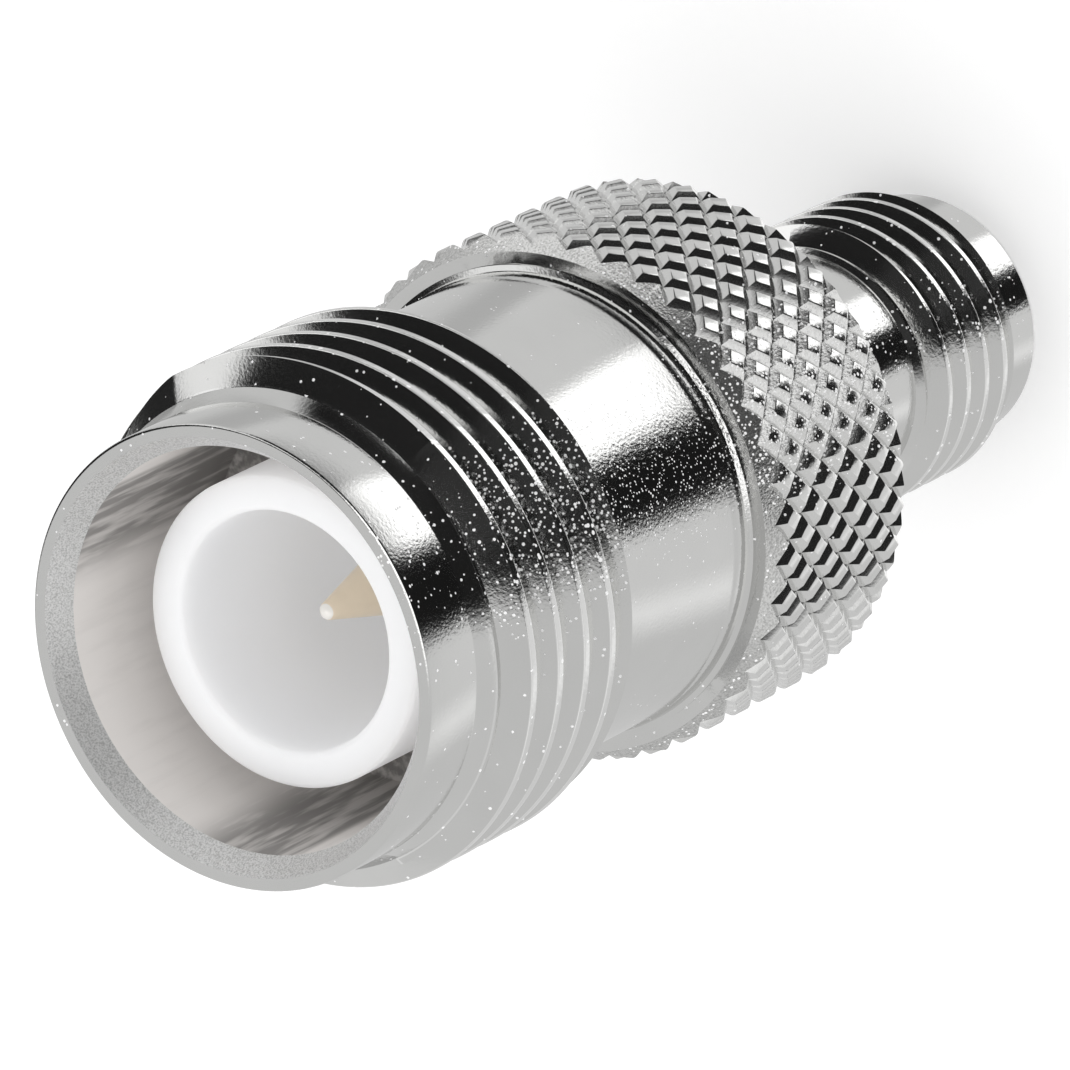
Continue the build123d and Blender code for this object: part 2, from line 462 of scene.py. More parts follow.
@dataclass(frozen=True)
class EvenFinish(Finish):
    """A slight cloud in colour and roughness, and fine marks in the bump.

    Attributes:
        colour: Colour in the cloud's light parts.
        roughness: Lowest roughness.
        dark: Share of the colour that is left in the cloud's dark parts.
        cloud_scale: Scale of the cloud's noise.
        fine_scale: Scale of the fine marks' noise.
        strength: Strength of the bump.
        microns: Depth of the fine marks.
    """

    colour: Colour
    roughness: float
    dark: float
    cloud_scale: float
    fine_scale: float
    strength: float
    microns: float

    def wire(self, net: Network, shader: bpy.types.Node) -> None:
        """Feeds the cloud and the marks."""
        place = net.place()
        cloud = net.noise(place, self.cloud_scale)
        fine = net.noise(place, self.fine_scale, detail=2.0)
        self.feed(
            net,
            shader,
            Base_Color=net.mix(cloud, self.colour, tint(self.colour, self.dark)),
            Roughness=cloud * 0.10 + self.roughness,
            Normal=net.bump(fine, self.strength, self.microns),
        )


@dataclass(frozen=True)
class WhitePlastic(EvenFinish):
    """Smooth white fluoroplastic with faint turning marks and a painted glow.

    Attributes:
        glow: Painted light: emission that brightens the body and its hollows, though it is no lamp.
        reach: How far light spreads in the body, in metres.
    """

    colour: Colour = (0.78, 0.79, 0.81)
    roughness: float = 0.38
    dark: float = 0.97
    cloud_scale: float = 400.0
    fine_scale: float = 9000.0
    strength: float = 0.25
    microns: float = 5.0
    glow: float = 0.12
    reach: float = 0.0018

    def wire(self, net: Network, shader: bpy.types.Node) -> None:
        """Adds the translucency and a painted glow of emission."""
        super().wire(net, shader)
        self.fix(
            shader,
            Subsurface_Weight=1.0,
            Subsurface_Radius=WHITE,
            Subsurface_Scale=self.reach,
            # The emission is painted light that brightens the cup and its hollows.
            Emission_Color=(*WHITE, 1.0),
            Emission_Strength=self.glow,
        )


@dataclass(frozen=True)
class GoldPlate(EvenFinish):
    """Satin gold plate over a turned contact.

    Attributes:
        metal: Share of the surface that mirrors as metal.
    """

    colour: Colour = (0.97, 0.83, 0.64)
    roughness: float = 0.30
    dark: float = 0.90
    cloud_scale: float = 2500.0
    fine_scale: float = 26000.0
    strength: float = 0.4
    microns: float = 4.0
    metal: float = 0.6

    def wire(self, net: Network, shader: bpy.types.Node) -> None:
        """Adds the mirroring."""
        super().wire(net, shader)
        self.fix(shader, Metallic=self.metal)


@dataclass(frozen=True)
class Zone:
    """A part of a turned piece between two radii and two heights, in millimetres."""

    inner: float = -math.inf
    outer: float = math.inf
    low: float = -math.inf
    high: float = math.inf

    def holds(self, radius: float, height: float) -> bool:
        """Whether a point lies in it."""
        return self.inner < radius < self.outer and self.low < height < self.high


@dataclass(frozen=True)
class Patch:
    """Another finish on some zones of a piece."""

    finish: Finish
    zones: tuple[Zone, ...]


BRIGHT = NickelPlate("bright_nickel")
# Lighter plate for thread crests and the lip's edge: a painted highlight of their bright lines.
CREST_HIGHLIGHT = NickelPlate(
    "crest_highlight_nickel", colour=(0.82, 0.82, 0.81), roughness=0.10, bead_mm=0.12, sparse=0.86, dense=0.0
)


# Modelling tools, in millimetres until a piece is finished


class Bench:
    """The steps that every turned piece shares."""

    SMOOTH_ANGLE: ClassVar[float] = 28.0  # edges sharper than this many degrees stay sharp
    FACE_WEIGHT: ClassVar[int] = 60  # how much large faces lead the shading of small ones

    @staticmethod
    def clear() -> None:
        """Leaves edit mode and deselects everything."""
        if bpy.context.object and bpy.context.object.mode != "OBJECT":
            bpy.ops.object.mode_set(mode="OBJECT")
        bpy.ops.object.select_all(action="DESELECT")

    @staticmethod
    def hold(piece: bpy.types.Object) -> None:
        """Selects one object and makes it active."""
        Bench.clear()
        piece.select_set(True)
        bpy.context.view_layer.objects.active = piece

    @staticmethod
    def arc(start: Point, end: Point, radius: float, steps: int = 8) -> list[Point]:
        """Points of an arc that bulges to the left of the way from start to end.

        Args:
            start: First point, as (radius, height).
            end: Last point.
            radius: Arc radius; negative bulges to the right.
            steps: Number of chords.

        Returns:
            The points from start to end, both included.
        """
        a, b = Vector(start), Vector(end)
        chord = b - a
        side = Vector((-chord.y, chord.x)).normalized()
        rise = math.sqrt(radius * radius - chord.length_squared / 4)
        centre = (a + b) / 2 - side * math.copysign(rise, radius)
        first = math.atan2(a.y - centre.y, a.x - centre.x)
        last = math.atan2(b.y - centre.y, b.x - centre.x)
        turn = (last - first + math.pi) % FULL_TURN - math.pi
        size = abs(radius)
        angles = [first + turn * step / steps for step in range(steps + 1)]
        return [(centre.x + size * math.cos(t), centre.y + size * math.sin(t)) for t in angles]

    @staticmethod
    def chain(name: str, outline: Sequence[Point], closed: bool) -> bpy.types.Object:
        """Draws an outline in the XZ plane, one extruded vertex after another.

        Args:
            name: The new object's name.
            outline: Points as (radius, height).
            closed: Whether the last point is joined to the first.

        Returns:
            The object, still in edit mode.
        """
        Bench.clear()
        bpy.ops.mesh.primitive_plane_add(size=1.0, location=(0, 0, 0))
        piece = bpy.context.object
        piece.name = name
        bpy.ops.object.mode_set(mode="EDIT")
        bpy.ops.mesh.select_all(action="SELECT")
        bpy.ops.mesh.merge(type="CENTER")
        bpy.ops.transform.translate(value=(outline[0][0], 0, outline[0][1]))
        points = list(outline) + ([outline[0]] if closed else [])
        for here, there in zip(points, points[1:]):
            move = (there[0] - here[0], 0, there[1] - here[1])
            bpy.ops.mesh.extrude_vertices_move(TRANSFORM_OT_translate={"value": move})
        bpy.ops.mesh.select_all(action="SELECT")
        if closed:
            bpy.ops.mesh.remove_doubles(threshold=WELD)
        return piece

    @staticmethod
    def turn(
        name: str, outline: Sequence[Point], steps: int, closed: bool = True
    ) -> bpy.types.Object:
        """Spins an outline once round the axis into a closed solid.

        Args:
            name: The new object's name.
            outline: Half section as (radius, height).
            steps: Facets round the axis.
            closed: Whether the outline is a ring; an open one starts and ends on the axis.

        Returns:
            The solid, in object mode.
        """
        piece = Bench.chain(name, outline, closed)
        bpy.ops.mesh.spin(steps=steps, angle=FULL_TURN, center=(0, 0, 0), axis=(0, 0, 1))
        bpy.ops.mesh.select_all(action="SELECT")
        bpy.ops.mesh.remove_doubles(threshold=WELD)
        bpy.ops.mesh.normals_make_consistent(inside=False)
        bpy.ops.object.mode_set(mode="OBJECT")
        return piece

    @staticmethod
    def combine(piece: bpy.types.Object, tool: bpy.types.Object, cut: Cut) -> None:
        """Applies a boolean of a tool solid to a piece and removes the tool."""
        Bench.hold(piece)
        step = piece.modifiers.new(cut.name, "BOOLEAN")
        step.operation = cut.value
        step.solver = "EXACT"
        step.object = tool
        bpy.ops.object.modifier_apply(modifier=step.name)
        bpy.data.meshes.remove(tool.data)

    @staticmethod
    def wind(
        name: str, outline: Sequence[Point], pitch: float, turns: int, steps: int
    ) -> bpy.types.Object:
        """Winds a closed outline into a right-handed helical bar.

        Args:
            name: The new object's name.
            outline: Section as (radius, height) at the start, in the XZ plane.
            pitch: Rise of one turn.
            turns: Number of turns.
            steps: Facets per turn.

        Returns:
            The bar, closed at both ends, in object mode.
        """
        bar = Bench.chain(name, outline, closed=True)
        bpy.ops.object.mode_set(mode="OBJECT")
        step = bar.modifiers.new("wind", "SCREW")
        step.axis = "Z"
        step.angle = FULL_TURN
        step.screw_offset = pitch
        step.iterations = turns
        step.steps = step.render_steps = steps
        step.use_merge_vertices = False
        bpy.ops.object.modifier_apply(modifier=step.name)
        bpy.ops.object.mode_set(mode="EDIT")
        bpy.ops.mesh.select_all(action="SELECT")
        bpy.ops.mesh.remove_doubles(threshold=WELD / 10)
        bpy.ops.mesh.select_all(action="SELECT")
        bpy.ops.mesh.fill_holes(sides=len(outline))
        bpy.ops.mesh.select_all(action="SELECT")
        bpy.ops.mesh.normals_make_consistent(inside=False)
        bpy.ops.object.mode_set(mode="OBJECT")
        return bar

    @staticmethod
    def finish(
        piece: bpy.types.Object,
        node: str,
        finish: Finish,
        slot: Slot,
        patches: Sequence[Patch] = (),
    ) -> None:
        """Shades a piece, brings it to metres, dresses it, hides its CAD node and hangs it under
        the root body.

        Args:
            piece: The finished solid, in millimetres.
            node: The CAD node that it stands for.
            finish: Its surface.
            slot: The record's material slot; not used.
            patches: Other finishes and where they are; a later one goes over an earlier one.
        """
        Bench.hold(piece)
        piece.scale = (METRE, METRE, METRE)
        bpy.ops.object.transform_apply(location=True, rotation=True, scale=True)
        bpy.ops.object.shade_smooth_by_angle(angle=math.radians(Bench.SMOOTH_ANGLE))
        weigh = piece.modifiers.new("weigh", "WEIGHTED_NORMAL")
        weigh.keep_sharp = True
        weigh.weight = Bench.FACE_WEIGHT
        bpy.ops.object.modifier_apply(modifier=weigh.name)
        piece.data.materials.clear()
        piece.data.materials.append(finish.material())
        for index, patch in enumerate(patches, start=1):
            piece.data.materials.append(patch.finish.material())
            for face in piece.data.polygons:
                x, y, z = (value / METRE for value in face.center)
                if any(zone.holds(math.hypot(x, y), z) for zone in patch.zones):
                    face.material_index = index
        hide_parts(node)
        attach(piece, "root")
        LOG.info("%s: %d faces for %s", piece.name, len(piece.data.polygons), node)


@dataclass
class Thread:
    """An outside thread cut as one helical groove.

    Attributes:
        crest_r: Radius over the crests.
        root_r: Radius at the groove's floor.
        pitch: Rise of one turn.
        crest_flat: Width of the flat left on each crest.
        start: Height of the groove's middle at angle 0, below the threaded run.
        turns: Number of turns.
        crest_round: Radius between flank and crest.
        flank: Angle of each flank from a plane across the axis, in degrees.
        over: How far the cutting solid stands out over the crests.
        steps: Facets per turn.
    """

    crest_r: float
    root_r: float
    pitch: float
    crest_flat: float
    start: float
    turns: int
    crest_round: float
    flank: float = 30.0
    over: float = 0.04
    steps: int = 160

    def groove(self, name: str) -> bpy.types.Object:
        """Makes the groove as a solid to cut away."""
        lean = math.radians(self.flank)
        mouth = (self.pitch - self.crest_flat) / 2
        root = mouth - (self.crest_r - self.root_r) * math.tan(lean)
        reach = self.crest_round * math.tan((math.pi / 2 - lean) / 2)
        low = (self.crest_r - reach * math.cos(lean), mouth - reach * math.sin(lean))
        high = (self.crest_r, mouth + reach)
        shoulder = Bench.arc(low, high, -self.crest_round, 4)
        side = [(self.root_r, root), *shoulder, (self.crest_r + self.over, mouth + reach)]
        lower = [(radius, self.start - height) for radius, height in side]
        upper = [(radius, self.start + height) for radius, height in reversed(side)]
        return Bench.wind(name, lower + upper, self.pitch, self.turns, self.steps)


@dataclass
class FrontShell:
    """The large mating half: lip, thread, barrel and the spigot inside the collar.

    Attributes:
        thread: Its outside thread.
        facets: Facets round the axis.
        lean: Slope of the plane in which the first crest blends out.
    """

    thread: Thread = field(
        default_factory=lambda: Thread(
            crest_r=5.50,
            root_r=4.97,
            pitch=0.907,
            crest_flat=0.18,
            start=17.93,
            turns=7,
            crest_round=0.05,
        )
    )
    facets: int = 256
    lean: float = 0.145

    def outline(self) -> list[Point]:
        """Half section of the shell: mouth, outside, spigot and back along the bore."""
        return [
            (4.50, 25.10),
            (4.705, 25.10),
            (4.72, 25.10),
            (4.755, 25.085),
            (4.77, 25.05),
            (4.77, 23.565),
            (4.7735, 23.54),
            (4.955, 23.15),
            (4.99, 23.125),
            (5.50, 22.83),
            (5.50, 19.20),
            (4.80, 18.50),
            *Bench.arc((4.80, 14.61), (4.88, 14.215), 1.02, 6),
            (4.99, 14.17),
            (4.99, 14.13),
            (4.55, 14.13),
            (4.55, 11.70),
            (3.60, 11.70),
            (3.60, 13.10),
            (3.22, 13.10),
            (3.22, 19.80),
            (4.176, 19.80),
            (4.176, 24.59),
        ]

    def lead_in(self) -> bpy.types.Object:
        """The ring cut off the thread's front, so that the first crest starts gradually."""
        cone = [(5.8, 22.338), (5.8, 23.3), (4.95, 23.3), (4.95, 22.829)]
        wedge = [(6.4, 22.32), (6.4, 24.6), (4.6, 24.6), (4.6, 23.36)]
        ring = Bench.turn("lead_in", cone, self.facets)
        leaning = Bench.turn("leaning_ring", wedge, self.facets)
        for vertex in leaning.data.vertices:
            vertex.co.z -= self.lean * vertex.co.y
        Bench.combine(ring, leaning, Cut.COMMON)
        return ring

    def build(self) -> bpy.types.Object:
        """Turns the shell and cuts its thread."""
        shell = Bench.turn("shell_turned", self.outline(), self.facets)
        Bench.combine(shell, self.thread.groove("shell_groove"), Cut.AWAY)
        Bench.combine(shell, self.lead_in(), Cut.AWAY)
        return shell

    def dress(self, shell: bpy.types.Object) -> None:
        """Plates the shell: bore, mouth's face, barrel, thread, crests and the lip's edge."""
        faced = NickelPlate(
            "faced_nickel",
            colour=(0.70, 0.70, 0.695),
            roughness=0.36,
            metal=0.45,
            grain_mm=0.035,
            grain_height=4.0,
            speckle=0.8,
            sparse=1.0,
            dense=1.0,
        )
        drawn = NickelPlate(
            "drawn_nickel", grain_height=2.4, bead_mm=0.06, sparse=0.985, dense=0.55
        )
        cut = NickelPlate("cut_nickel", bead_mm=0.09, sparse=0.96, dense=0.0)
        # The crests and the lip's edge take the lighter plate of painted highlight.
        crests = Zone(inner=5.45, low=18.9, high=22.88)
        lip_edge = Zone(inner=4.956, outer=4.989, low=23.126)
        patches = (
            # The bore's plate carries painted reflections.
            Patch(BoredNickel("bored_nickel"), (Zone(inner=3.3, outer=4.19, low=19.5),)),
            Patch(faced, (Zone(outer=4.52, low=24.58),)),
            Patch(drawn, (Zone(inner=4.7, outer=4.9, low=14.1, high=18.5),)),
            Patch(cut, (Zone(inner=4.95, low=18.5, high=22.9),)),
            Patch(CREST_HIGHLIGHT, (crests, lip_edge)),
        )
        Bench.finish(shell, "front_shell", BRIGHT, Slot.NICKEL, patches)


@dataclass
class Knurl:
    """The diamond knurl of the grip collar.

    Attributes:
        count: Diamonds round the collar.
        radius: Radius over the diamonds.
        depth: Depth of the grooves.
        half_width: Half the width of a groove at the surface.
        lead: Rise of a groove in one full turn.
        low: Height where the first row is centred.
        rows: Rows of diamonds along the axis, counted at one angle.
        phase: Turn of the pattern, in degrees.
        edge: Width of the bright edge round each diamond's top.
        inside: Share of the radius at which the sleeve is closed on its inside.
    """

    count: int = 40
    radius: float = 5.55
    depth: float = 0.16
    half_width: float = 0.15
    lead: float = 37.8
    low: float = 8.76
    rows: int = 7
    phase: float = 0.5
    edge: float = 0.022
    inside: float = 0.86

    def diamond(self) -> bpy.types.Object:
        """Models one raised diamond, flat, with its four flanks and a bevelled top."""
        across, along = math.pi * self.radius / self.count, self.lead / self.count / 2
        Bench.clear()
        bpy.ops.mesh.primitive_circle_add(
            vertices=4, radius=1.0, fill_type="NGON", location=(0, 0, 0)
        )
        tile = bpy.context.object
        tile.name = "diamond"
        bpy.ops.object.mode_set(mode="EDIT")
        bpy.ops.mesh.select_all(action="SELECT")
        bpy.ops.transform.resize(value=(across, along, 1.0))
        bpy.ops.mesh.inset(thickness=self.half_width, depth=self.depth)
        bpy.ops.mesh.bevel(offset=self.edge, segments=1, affect="EDGES")
        bpy.ops.object.mode_set(mode="OBJECT")
        return tile

    def spread(self, tile: bpy.types.Object) -> None:
        """Repeats the diamond in staggered rows, then wraps the sheet round the axis."""
        across, along = FULL_TURN * self.radius / self.count, self.lead / self.count
        Bench.hold(tile)
        for name, count, offset in (
            ("round", self.count, (across, 0, 0)),
            ("up", self.rows, (0, along, 0)),
            ("stagger", 2, (across / 2, along / 2, 0)),
        ):
            step = tile.modifiers.new(name, "ARRAY")
            step.count = count
            step.use_relative_offset = False
            step.use_constant_offset = True
            step.constant_offset_displace = offset
            bpy.ops.object.modifier_apply(modifier=step.name)
        floor = self.radius - self.depth
        for vertex in tile.data.vertices:
            turn = vertex.co.x / self.radius + math.radians(self.phase)
            reach = floor + vertex.co.z
            vertex.co = (reach * math.cos(turn), reach * math.sin(turn), self.low + vertex.co.y)

    def sleeve(self) -> bpy.types.Object:
        """Closes the wrapped sheet into a thick sleeve."""
        tile = self.diamond()
        self.spread(tile)
        tile.name = "knurl_sleeve"
        Bench.hold(tile)
        bpy.ops.object.mode_set(mode="EDIT")
        bpy.ops.mesh.select_all(action="SELECT")
        bpy.ops.mesh.remove_doubles(threshold=WELD * 10)
        bpy.ops.mesh.select_all(action="DESELECT")
        bpy.ops.mesh.select_non_manifold(extend=False)
        bpy.ops.mesh.extrude_edges_move()
        shrink = (self.inside, self.inside, 1.0)
        bpy.ops.transform.resize(value=shrink, center_override=(0, 0, 0))
        bpy.ops.mesh.bridge_edge_loops()
        bpy.ops.mesh.select_all(action="SELECT")
        bpy.ops.mesh.normals_make_consistent(inside=False)
        bpy.ops.object.mode_set(mode="OBJECT")
        return tile


@dataclass
class RearBody:
    """The knurled collar, the neck and the small mating half."""

    thread: Thread = field(
        default_factory=lambda: Thread(
            crest_r=3.13,
            root_r=2.74,
            pitch=0.7056,
            crest_flat=0.14,
            start=0.305,
            turns=7,
            crest_round=0.04,
        )
    )
    knurl: Knurl = field(default_factory=Knurl)
    facets: int = 200

    def grip_outline(self) -> list[Point]:
        """Half section of the ring that bounds the knurled collar."""
        return [
            (4.95, 14.13),
            (5.26, 14.13),
            (5.55, 13.75),
            (5.56, 13.70),
            (5.56, 9.49),
            (5.35, 9.30),
            (4.95, 9.30),
        ]

    def core_outline(self) -> list[Point]:
        """Half section inside the knurl, down to the small end and back up the bore."""
        return [
            (4.56, 14.13),
            (5.05, 14.13),
            (5.05, 9.30),
            *Bench.arc((2.94, 9.30), (2.64, 9.00), 0.30, 5),
            (2.64, 4.54),
            (3.13, 4.06),
            (3.13, 1.44),
            (2.70, 1.01),
            (2.70, 0.08),
            (2.62, 0.0),
            (2.41, 0.0),
            (2.33, 0.08),
            (2.33, 1.93),
            (2.06, 1.93),
            (2.06, 10.70),
            (2.60, 10.70),
            (2.60, 11.70),
            (4.56, 11.70),
        ]

    def build(self) -> bpy.types.Object:
        """Turns the core, cuts its thread and fuses the knurled ring to it."""
        core = Bench.turn("body_turned", self.core_outline(), self.facets)
        Bench.combine(core, self.thread.groove("body_groove"), Cut.AWAY)
        grip = self.knurl.sleeve()
        limit = Bench.turn("grip_limit", self.grip_outline(), self.facets)
        Bench.combine(grip, limit, Cut.COMMON)
        Bench.combine(core, grip, Cut.FUSED)
        return core

    def dress(self, body: bpy.types.Object) -> None:
        """Plates the body: knurl, the collar's bevelled edge and the thread's crests."""
        rolled = NickelPlate("rolled_nickel", colour=(0.75, 0.75, 0.74), roughness=0.14, dense=0.05)
        edge = NickelPlate(
            "edge_nickel",
            colour=(0.60, 0.60, 0.59),
            roughness=0.14,
            metal=0.9,
            grain_mm=0.05,
            grain_height=6.0,
            speckle=0.6,
            sparse=0.7,
            dense=0.0,
        )
        patches = (
            Patch(rolled, (Zone(inner=5.2, low=9.4, high=13.77),)),
            Patch(edge, (Zone(inner=5.2, low=13.77, high=14.125),)),
            # The crests take the lighter plate of painted highlight.
            Patch(CREST_HIGHLIGHT, (Zone(inner=3.10, outer=3.2, low=1.5, high=4.0),)),
        )
        Bench.finish(body, "rear_body", BRIGHT, Slot.NICKEL, patches)


@dataclass
class Insulators:
    """The white cup in the large end and the white bead in the small end."""

    facets: int = 160

    def cup_outline(self) -> list[Point]:
        """Half section of the cup, with a rounded rim."""
        return [
            (2.483, 16.60),
            *Bench.arc((2.483, 23.20), (2.603, 23.32), 0.12, 6),
            *Bench.arc((3.126, 23.32), (3.206, 23.24), 0.08, 5),
            (3.206, 13.10),
            (3.58, 13.10),
            (3.58, 11.70),
            (1.02, 11.70),
            (1.02, 12.72),
            (0.685, 12.72),
            (0.685, 16.60),
        ]

    def bead_outline(self) -> list[Point]:
        """Half section of the bead, with its flange at the top."""
        return [
            (0.645, 1.93),
            (2.05, 1.93),
            (2.05, 10.70),
            (2.58, 10.70),
            (2.58, 11.70),
            (0.645, 11.70),
        ]

    def build(self) -> list[bpy.types.Object]:
        """Turns both insulators."""
        return [
            Bench.turn("cup_turned", self.cup_outline(), self.facets),
            Bench.turn("bead_turned", self.bead_outline(), self.facets),
        ]

    def dress(self, pieces: Iterable[bpy.types.Object]) -> None:
        """Gives both their plastic."""
        for piece, node in zip(pieces, ("front_insulator", "rear_insulator")):
            Bench.finish(piece, node, WhitePlastic("fluoroplastic"), Slot.PLASTIC)


@dataclass
class Contacts:
    """The gold pin of the large end and the gold socket of the small end.

    Attributes:
        facets: Facets round the axis.
        cone: Half angle of the pin's point, in degrees.
        pin_r: Radius of the pin.
        tip_r: Radius of the rounding at its tip.
        tip_z: Height of the tip.
        saw: Length, width and height of the saw that slots the socket.
        saw_z: Height of the saw's middle.
    """

    facets: int = 96
    cone: float = 13.5
    pin_r: float = 0.675
    tip_r: float = 0.195
    tip_z: float = 21.95
    saw: Triple = (1.5, 0.18, 2.8)
    saw_z: float = 3.2

    def pin_outline(self) -> list[Point]:
        """Half section of the pin, from the tip down to the end of its stem."""
        lean = math.radians(self.cone)
        start_r = self.tip_r * math.cos(lean)
        start_z = self.tip_z - self.tip_r * (1 - math.sin(lean))
        end_z = start_z - (self.pin_r - start_r) / math.tan(lean)
        return [
            *Bench.arc((0.0, self.tip_z), (start_r, start_z), self.tip_r, 8),
            (self.pin_r, end_z),
            (self.pin_r, 12.70),
            (1.00, 12.70),
            (1.00, 11.70),
            (0.40, 11.70),
            (0.40, 8.40),
            (0.0, 8.40),
        ]

    def socket_outline(self) -> list[Point]:
        """Half section of the socket, bored from both ends."""
        return [
            (0.525, 1.98),
            (0.635, 1.98),
            (0.635, 11.70),
            (0.40, 11.70),
            (0.40, 8.20),
            (0.0, 8.20),
            (0.0, 5.50),
            (0.465, 5.50),
            (0.465, 2.04),
        ]

    def slot_cutter(self, angle: float) -> bpy.types.Object:
        """A thin slab across the socket's mouth, turned to an angle in degrees."""
        Bench.clear()
        turned = (0, 0, math.radians(angle))
        bpy.ops.mesh.primitive_cube_add(size=1.0, location=(0, 0, self.saw_z), rotation=turned)
        slab = bpy.context.object
        slab.scale = self.saw
        bpy.ops.object.transform_apply(location=True, rotation=True, scale=True)
        return slab

    def build(self) -> list[bpy.types.Object]:
        """Turns the pin and the socket and saws the socket's slots."""
        pin = Bench.turn("pin_turned", self.pin_outline(), self.facets, closed=False)
        socket = Bench.turn("socket_turned", self.socket_outline(), self.facets)
        for angle in (0.0, 90.0):
            Bench.combine(socket, self.slot_cutter(angle), Cut.AWAY)
        return [pin, socket]

    def dress(self, pieces: Iterable[bpy.types.Object]) -> None:
        """Gold-plates both, with a pale painted highlight on the pin's tip."""
        # A pale patch on the pin's tip: a painted highlight.
        tip_highlight = GoldPlate("painted_tip_highlight", colour=(1.0, 0.97, 0.92), roughness=0.40, metal=0.3)
        tip = Patch(tip_highlight, (Zone(low=21.86),))
        for piece, node in zip(pieces, ("pin_contact", "socket_contact")):
            Bench.finish(piece, node, GoldPlate("satin_gold"), Slot.GOLD, (tip,))


@dataclass(frozen=True)
class Band:
    """One row of the surround that bright metal mirrors.

    Attributes:
        start: Height of the mirrored direction, from -1 to 1, where the row starts to show.
        full: Height from which it shows fully.
        fields: Its levels, as (degrees round from the camera's side, level).
    """

    start: float
    full: float
    fields: tuple[Point, ...]

    def stops(self) -> list[tuple[float, Colour]]:
        """The fields as a colour ramp's places and colours."""
        return [
            ((degrees + 180.0) / 360.0, (level, level, level)) for degrees, level in self.fields
        ]


# Mirrored by upright surfaces, by ones that lean a little upward, by cones and edges that
# lean halfway, and by surfaces that face upward.
BANDS = (
    Band(
        -0.95,
        -0.88,
        (
            (-180, 0.70), (-125, 0.70), (-112, 0.56), (-99, 0.58), (-93, 0.78), (-46, 0.80),
            (-40, 1.8), (-12, 1.8), (-5, 0.012), (27, 0.012), (33, 0.82), (58, 0.82),
            (70, 1.05), (84, 0.72), (125, 0.70), (180, 0.70),
        ),
    ),
    Band(
        -0.60,
        -0.36,
        (
            (-180, 0.72), (-88, 0.74), (-80, 0.012), (-30, 0.02), (24, 0.012), (34, 0.74),
            (180, 0.72),
        ),
    ),
    Band(
        -0.12,
        0.03,
        (
            (-180, 0.70), (-163, 0.65), (-156, 0.02), (-129, 0.02), (-125, 1.4), (-104, 1.4),
            (-98, 1.3), (-42, 1.3), (-34, 0.012), (24, 0.012), (34, 1.1), (80, 1.1),
            (92, 0.74), (126, 0.80), (150, 0.80), (160, 0.7), (180, 0.7),
        ),
    ),
    Band(
        0.25,
        0.33,
        (
            (-180, 0.73), (-170, 0.70), (-160, 0.012), (-137, 0.012), (-132, 1.1), (-120, 1.1),
            (-115, 0.012), (-48, 0.012), (-40, 0.03), (10, 0.04), (20, 0.012), (32, 0.012),
            (46, 0.70), (120, 0.72), (180, 0.73),
        ),
    ),
)


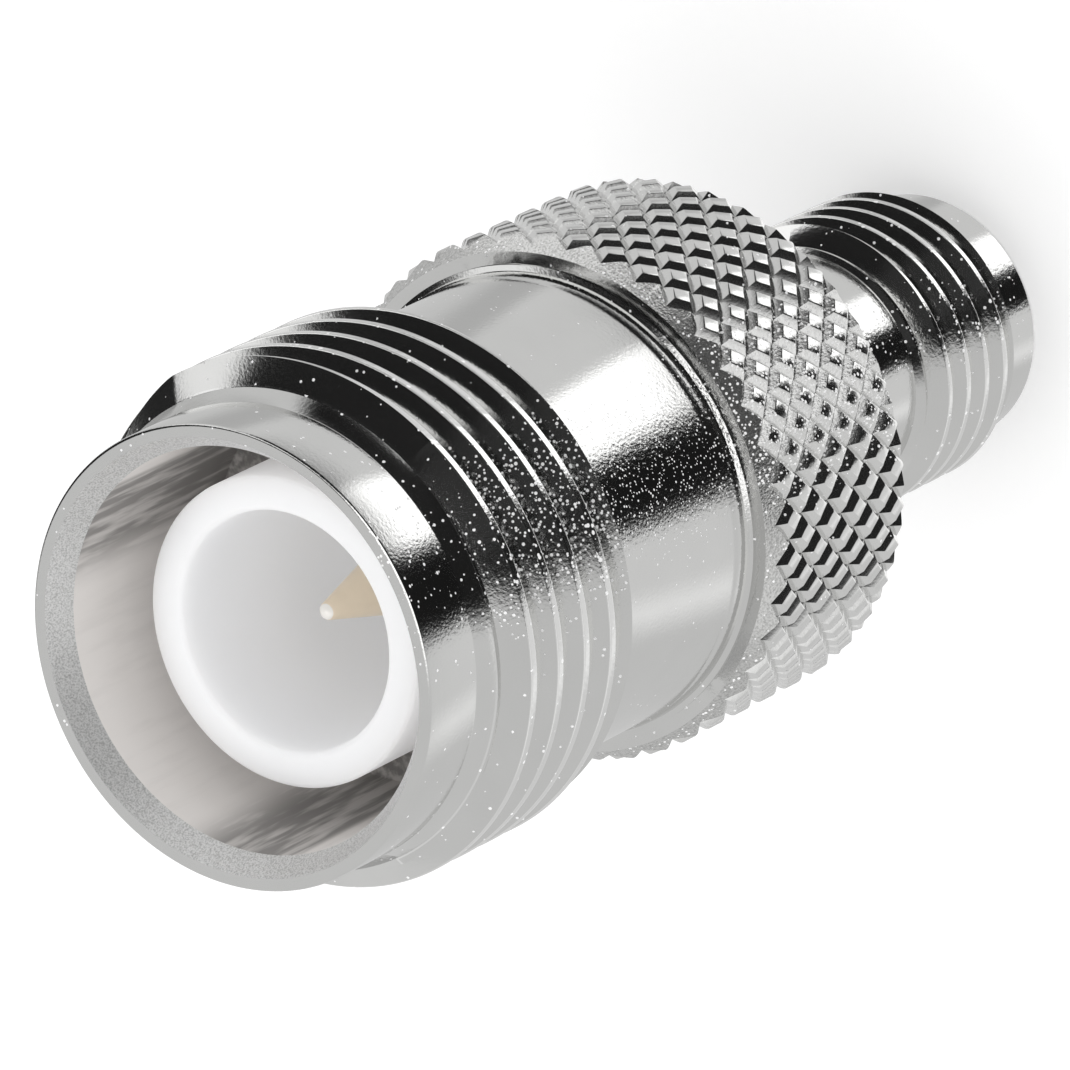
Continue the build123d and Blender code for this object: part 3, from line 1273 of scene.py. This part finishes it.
@dataclass
class Studio:
    """Floor, world, lamp and camera.

    Attributes:
        place: Where the camera stands.
        look: The direction that it looks in.
        roll: Its turn about that direction, in degrees.
        lens: Its focal length, in millimetres.
        floor_size: Edge of the floor.
        floor_colour: Colour of the floor.
        floor_lift: What the camera sees over the floor's own light, to bring it to white.
        nadir: Level that surfaces facing away from the zenith mirror.
        zenith: Level that surfaces facing straight up mirror.
        zenith_edge: Heights of the mirrored direction between which the zenith fades in.
        lamp_place: Where the lamp hangs; it is aimed at the origin.
        lamp_size: Edge of the lamp.
        lamp_power: Its power, in watts.
    """

    place: Triple = (0.0, -0.154433, 0.204506)
    look: Triple = (-0.00189707, 0.63165906, -0.77524399)
    roll: float = -116.2547
    lens: float = 408.42
    floor_size: float = 1.2
    floor_colour: Colour = (0.9, 0.9, 0.9)
    floor_lift: float = 0.16
    nadir: float = 1.2
    zenith: float = 1.8
    zenith_edge: Point = (0.955, 0.975)
    lamp_place: Triple = (-0.25, -0.15, 0.6)
    lamp_size: float = 0.5
    lamp_power: float = 0.9

    def camera(self) -> None:
        """Places the camera at the photograph's viewing angle."""
        data = bpy.data.cameras.new("view")
        data.sensor_width = 36.0
        data.lens = self.lens
        data.clip_start, data.clip_end = 0.01, 10.0
        camera = bpy.data.objects.new("view", data)
        bpy.context.scene.collection.objects.link(camera)
        level = Vector(self.look).to_track_quat("-Z", "Y").to_matrix()
        spin = Matrix.Rotation(math.radians(self.roll), 3, "Z")
        camera.matrix_world = Matrix.Translation(self.place) @ (level @ spin).to_4x4()
        bpy.context.scene.camera = camera

    def floor(self) -> None:
        """A pale floor that shows white to the camera and keeps the shadow."""
        Bench.clear()
        bpy.ops.mesh.primitive_plane_add(size=self.floor_size, location=(0, 0, 0))
        plane = bpy.context.object
        plane.name = "studio_floor"
        made = bpy.data.materials.new("pale_floor")
        made.use_nodes = True
        net = Network(made.node_tree)
        seen = net.out(net.node("ShaderNodeLightPath"), "Is Camera Ray")
        matte = net.node("ShaderNodeBsdfDiffuse", Color=(*self.floor_colour, 1.0))
        glow = net.node("ShaderNodeEmission", Strength=seen * self.floor_lift)
        total = net.node("ShaderNodeAddShader", input0=net.out(matte), input1=net.out(glow))
        output = net.node("ShaderNodeOutputMaterial")
        net.tree.links.new(total.outputs[0], output.inputs["Surface"])
        plane.data.materials.append(made)
        plane.visible_glossy = False

    def mirrored(self, net: Network) -> Wire:
        """What bright metal mirrors: rows of grey, dark and bright fields over one another."""
        direction = net.out(net.node("ShaderNodeTexCoord"), "Generated")
        way = net.node("ShaderNodeSeparateXYZ", Vector=direction)
        x, y, z = (net.out(way, index) for index in range(3))
        turn = (-x).angle(-y) * (1.0 / FULL_TURN) + 0.5
        total: Any = (self.nadir,) * 3
        for band in BANDS:
            row = net.node("ShaderNodeValToRGB", {"stops": band.stops()}, input0=turn)
            total = net.mix(z.step(band.start, band.full), total, net.out(row))
        return net.mix(z.step(*self.zenith_edge), total, (self.zenith,) * 3)

    def world(self) -> None:
        """A white surround for the light and the view, and the mirrored rows for bright metal."""
        world = bpy.data.worlds.new("studio")
        bpy.context.scene.world = world
        world.use_nodes = True
        net = Network(world.node_tree)
        path = net.node("ShaderNodeLightPath")
        soft = net.mix(net.out(path, "Is Glossy Ray"), WHITE, self.mirrored(net))
        seen = net.mix(net.out(path, "Is Camera Ray"), soft, WHITE)
        back = net.node("ShaderNodeBackground", Color=seen, Strength=1.0)
        output = net.node("ShaderNodeOutputWorld")
        net.tree.links.new(back.outputs[0], output.inputs["Surface"])

    def lamp(self) -> None:
        """One broad lamp overhead that gives the floor its soft shadow."""
        data = bpy.data.lights.new("key", "AREA")
        data.shape = "SQUARE"
        data.size = self.lamp_size
        data.energy = self.lamp_power
        lamp = bpy.data.objects.new("key", data)
        bpy.context.scene.collection.objects.link(lamp)
        lamp.location = self.lamp_place
        lamp.rotation_euler = (-Vector(self.lamp_place)).to_track_quat("-Z", "Y").to_euler()
        lamp.visible_glossy = False

    def build(self) -> None:
        """Sets up the whole studio."""
        self.camera()
        self.floor()
        self.world()
        self.lamp()
        bpy.context.scene.view_settings.view_transform = "Standard"


def main() -> None:
    """Builds the studio, then every piece."""
    logging.basicConfig(level=logging.INFO, format="%(message)s")
    Studio().build()
    for assembly in (FrontShell(), RearBody(), Insulators(), Contacts()):
        assembly.dress(assembly.build())


if __name__ == "__main__":
    main()
